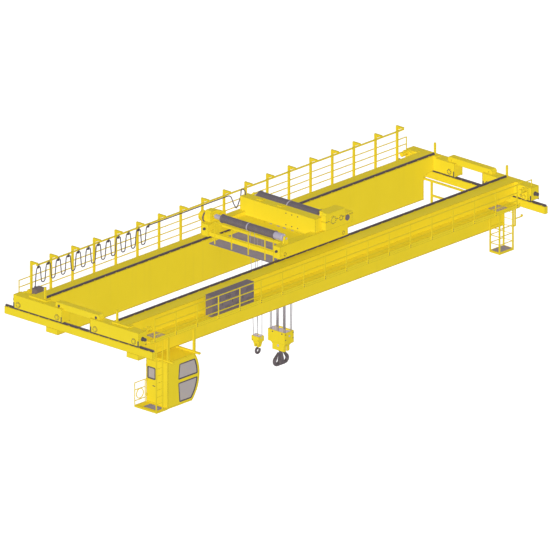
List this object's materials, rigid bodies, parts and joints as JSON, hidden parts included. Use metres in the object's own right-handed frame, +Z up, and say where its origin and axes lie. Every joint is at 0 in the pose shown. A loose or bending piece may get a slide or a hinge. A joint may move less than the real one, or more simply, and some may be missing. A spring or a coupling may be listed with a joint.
{
  "type": "overhead bridge crane",
  "caption": "Overhead travelling crane: box girders on end carriages, a hoist trolley with a main and a small hook, an operator's cab, walkways and a festoon cable.",
  "frame": {"origin": "centre of the underside of the runway's near left seat", "axes": "+X along the span, from the cab's end to the far end; +Y across the crane, from the cab's side to the festoon side; +Z up"},
  "size_m": [26.06, 8.86, 7.6639],
  "materials": {
    "yellow_paint": "satin",
    "dark_steel": "matte",
    "rail_steel": "satin",
    "grey_paint": "satin",
    "galvanised": "matte",
    "rope_wire": "matte",
    "cable_rubber": "matte",
    "buffer_rubber": "matte",
    "window_glass": "gloss",
    "hook_steel": "matte"
  },
  "bodies": {
    "runway": {"runway_beams": "yellow_paint", "runway_rails": "rail_steel", "runway_seats": "yellow_paint"},
    "bridge": {"far_girder": "yellow_paint", "near_girder": "yellow_paint", "trolley_rails": "rail_steel", "end_stops": "yellow_paint", "carriages": "yellow_paint", "tie_beams": "yellow_paint", "carriage_buffers": "buffer_rubber", "rail_sweeps": "dark_steel", "travel_drives": "yellow_paint", "near_walkway": "yellow_paint", "far_walkway": "yellow_paint", "near_railing": "yellow_paint", "far_railing": "yellow_paint", "festoon_posts": "yellow_paint", "festoon_rail": "yellow_paint", "festoon_cable": "cable_rubber", "electric_cabinets": "grey_paint", "cab_floor": "yellow_paint", "cab_roof": "yellow_paint", "cab_rear_wall": "yellow_paint", "cab_side_walls": "yellow_paint", "cab_front": "yellow_paint", "cab_glass": "window_glass", "cab_hangers": "yellow_paint", "cab_platform": "yellow_paint", "landing_guards": "yellow_paint", "gratings": "galvanised", "service_basket": "yellow_paint", "collector_arm": "yellow_paint", "end_frame": "yellow_paint"},
    "near_outer_wheels": {"near_outer_wheels": "dark_steel"},
    "near_inner_wheels": {"near_inner_wheels": "dark_steel"},
    "far_inner_wheels": {"far_inner_wheels": "dark_steel"},
    "far_outer_wheels": {"far_outer_wheels": "dark_steel"},
    "cab_door": {"cab_door": "yellow_paint", "cab_door_glass": "window_glass"},
    "trolley": {"side_beams": "yellow_paint", "trolley_frame": "yellow_paint", "cross_beam": "yellow_paint", "trolley_buffers": "buffer_rubber", "service_platform": "galvanised", "service_railing": "yellow_paint", "drum_pedestals": "yellow_paint", "hoist_gearboxes": "yellow_paint", "hoist_motors": "yellow_paint", "main_ropes": "rope_wire", "aux_ropes": "rope_wire"},
    "left_trolley_wheels": {"left_trolley_wheels": "dark_steel"},
    "right_trolley_wheels": {"right_trolley_wheels": "dark_steel"},
    "main_drum": {"main_drum": "grey_paint"},
    "aux_drum": {"aux_drum": "grey_paint"},
    "main_block": {"main_block": "yellow_paint", "main_sheaves": "grey_paint"},
    "aux_block": {"aux_block": "yellow_paint", "aux_sheaves": "grey_paint"},
    "main_hook": {"main_hook": "hook_steel"},
    "aux_hook": {"aux_hook": "hook_steel"}
  },
  "joints": [
    {"name": "bridge_travel", "type": "slide", "parent": "runway", "child": "bridge", "axis": [0, 1, 0], "range_m": [-0.45, 0.45]},
    {"name": "trolley_travel", "type": "slide", "parent": "bridge", "child": "trolley", "axis": [1, 0, 0], "range_m": [-9.8, 9.6], "deforming": ["festoon_cable"]},
    {"name": "main_hoist", "type": "slide", "parent": "trolley", "child": "main_block", "axis": [0, 0, 1], "range_m": [-5.5, 3], "deforming": ["main_ropes"]},
    {"name": "aux_hoist", "type": "slide", "parent": "trolley", "child": "aux_block", "axis": [0, 0, 1], "range_m": [-5.5, 3], "deforming": ["aux_ropes"]},
    {"name": "cab_door_hinge", "type": "hinge", "parent": "bridge", "child": "cab_door", "pos_m": [1.7157, 1.018, -1.7497], "axis": [0, 0, -1], "range_deg": [0, 90]},
    {"name": "main_hook_swivel", "type": "hinge", "parent": "main_block", "child": "main_hook", "pos_m": [12.89, 3.25, -3.8797], "axis": [0, 0, 1], "continuous": true},
    {"name": "aux_hook_swivel", "type": "hinge", "parent": "aux_block", "child": "aux_hook", "pos_m": [11.39, 3.25, -3.3297], "axis": [0, 0, 1], "continuous": true},
    {"name": "main_drum_spin", "type": "hinge", "parent": "trolley", "child": "main_drum", "pos_m": [13.5, 3.25, 2.6503], "axis": [0, 1, 0], "range_deg": [-6800, 3700]},
    {"name": "aux_drum_spin", "type": "hinge", "parent": "trolley", "child": "aux_drum", "pos_m": [10.82, 3.25, 2.4203], "axis": [0, 1, 0], "range_deg": [-1900, 3400]},
    {"name": "near_outer_wheel_spin", "type": "hinge", "parent": "bridge", "child": "near_outer_wheels", "pos_m": [12.58, -0.21, 0.9053], "axis": [1, 0, 0], "range_deg": [-110, 110]},
    {"name": "near_inner_wheel_spin", "type": "hinge", "parent": "bridge", "child": "near_inner_wheels", "pos_m": [12.58, 2.11, 0.9053], "axis": [1, 0, 0], "range_deg": [-110, 110]},
    {"name": "far_inner_wheel_spin", "type": "hinge", "parent": "bridge", "child": "far_inner_wheels", "pos_m": [12.58, 4.39, 0.9053], "axis": [1, 0, 0], "range_deg": [-110, 110]},
    {"name": "far_outer_wheel_spin", "type": "hinge", "parent": "bridge", "child": "far_outer_wheels", "pos_m": [12.58, 6.71, 0.9053], "axis": [1, 0, 0], "range_deg": [-110, 110]},
    {"name": "left_trolley_wheel_spin", "type": "hinge", "parent": "trolley", "child": "left_trolley_wheels", "pos_m": [10.6, 3.25, 1.7706], "axis": [0, 1, 0], "range_deg": [-2300, 2300]},
    {"name": "right_trolley_wheel_spin", "type": "hinge", "parent": "trolley", "child": "right_trolley_wheels", "pos_m": [14.39, 3.25, 1.7706], "axis": [0, 1, 0], "range_deg": [-2300, 2300]}
  ],
  "couplings": [
    {"joint": "main_drum_spin", "follows": "main_hoist", "rad_per_m": 21.277},
    {"joint": "aux_drum_spin", "follows": "aux_hoist", "rad_per_m": -10.582},
    {"joint": "near_outer_wheel_spin", "follows": "bridge_travel", "rad_per_m": -4},
    {"joint": "near_inner_wheel_spin", "follows": "bridge_travel", "rad_per_m": -4},
    {"joint": "far_inner_wheel_spin", "follows": "bridge_travel", "rad_per_m": -4},
    {"joint": "far_outer_wheel_spin", "follows": "bridge_travel", "rad_per_m": -4},
    {"joint": "left_trolley_wheel_spin", "follows": "trolley_travel", "rad_per_m": 4},
    {"joint": "right_trolley_wheel_spin", "follows": "trolley_travel", "rad_per_m": 4}
  ]
}
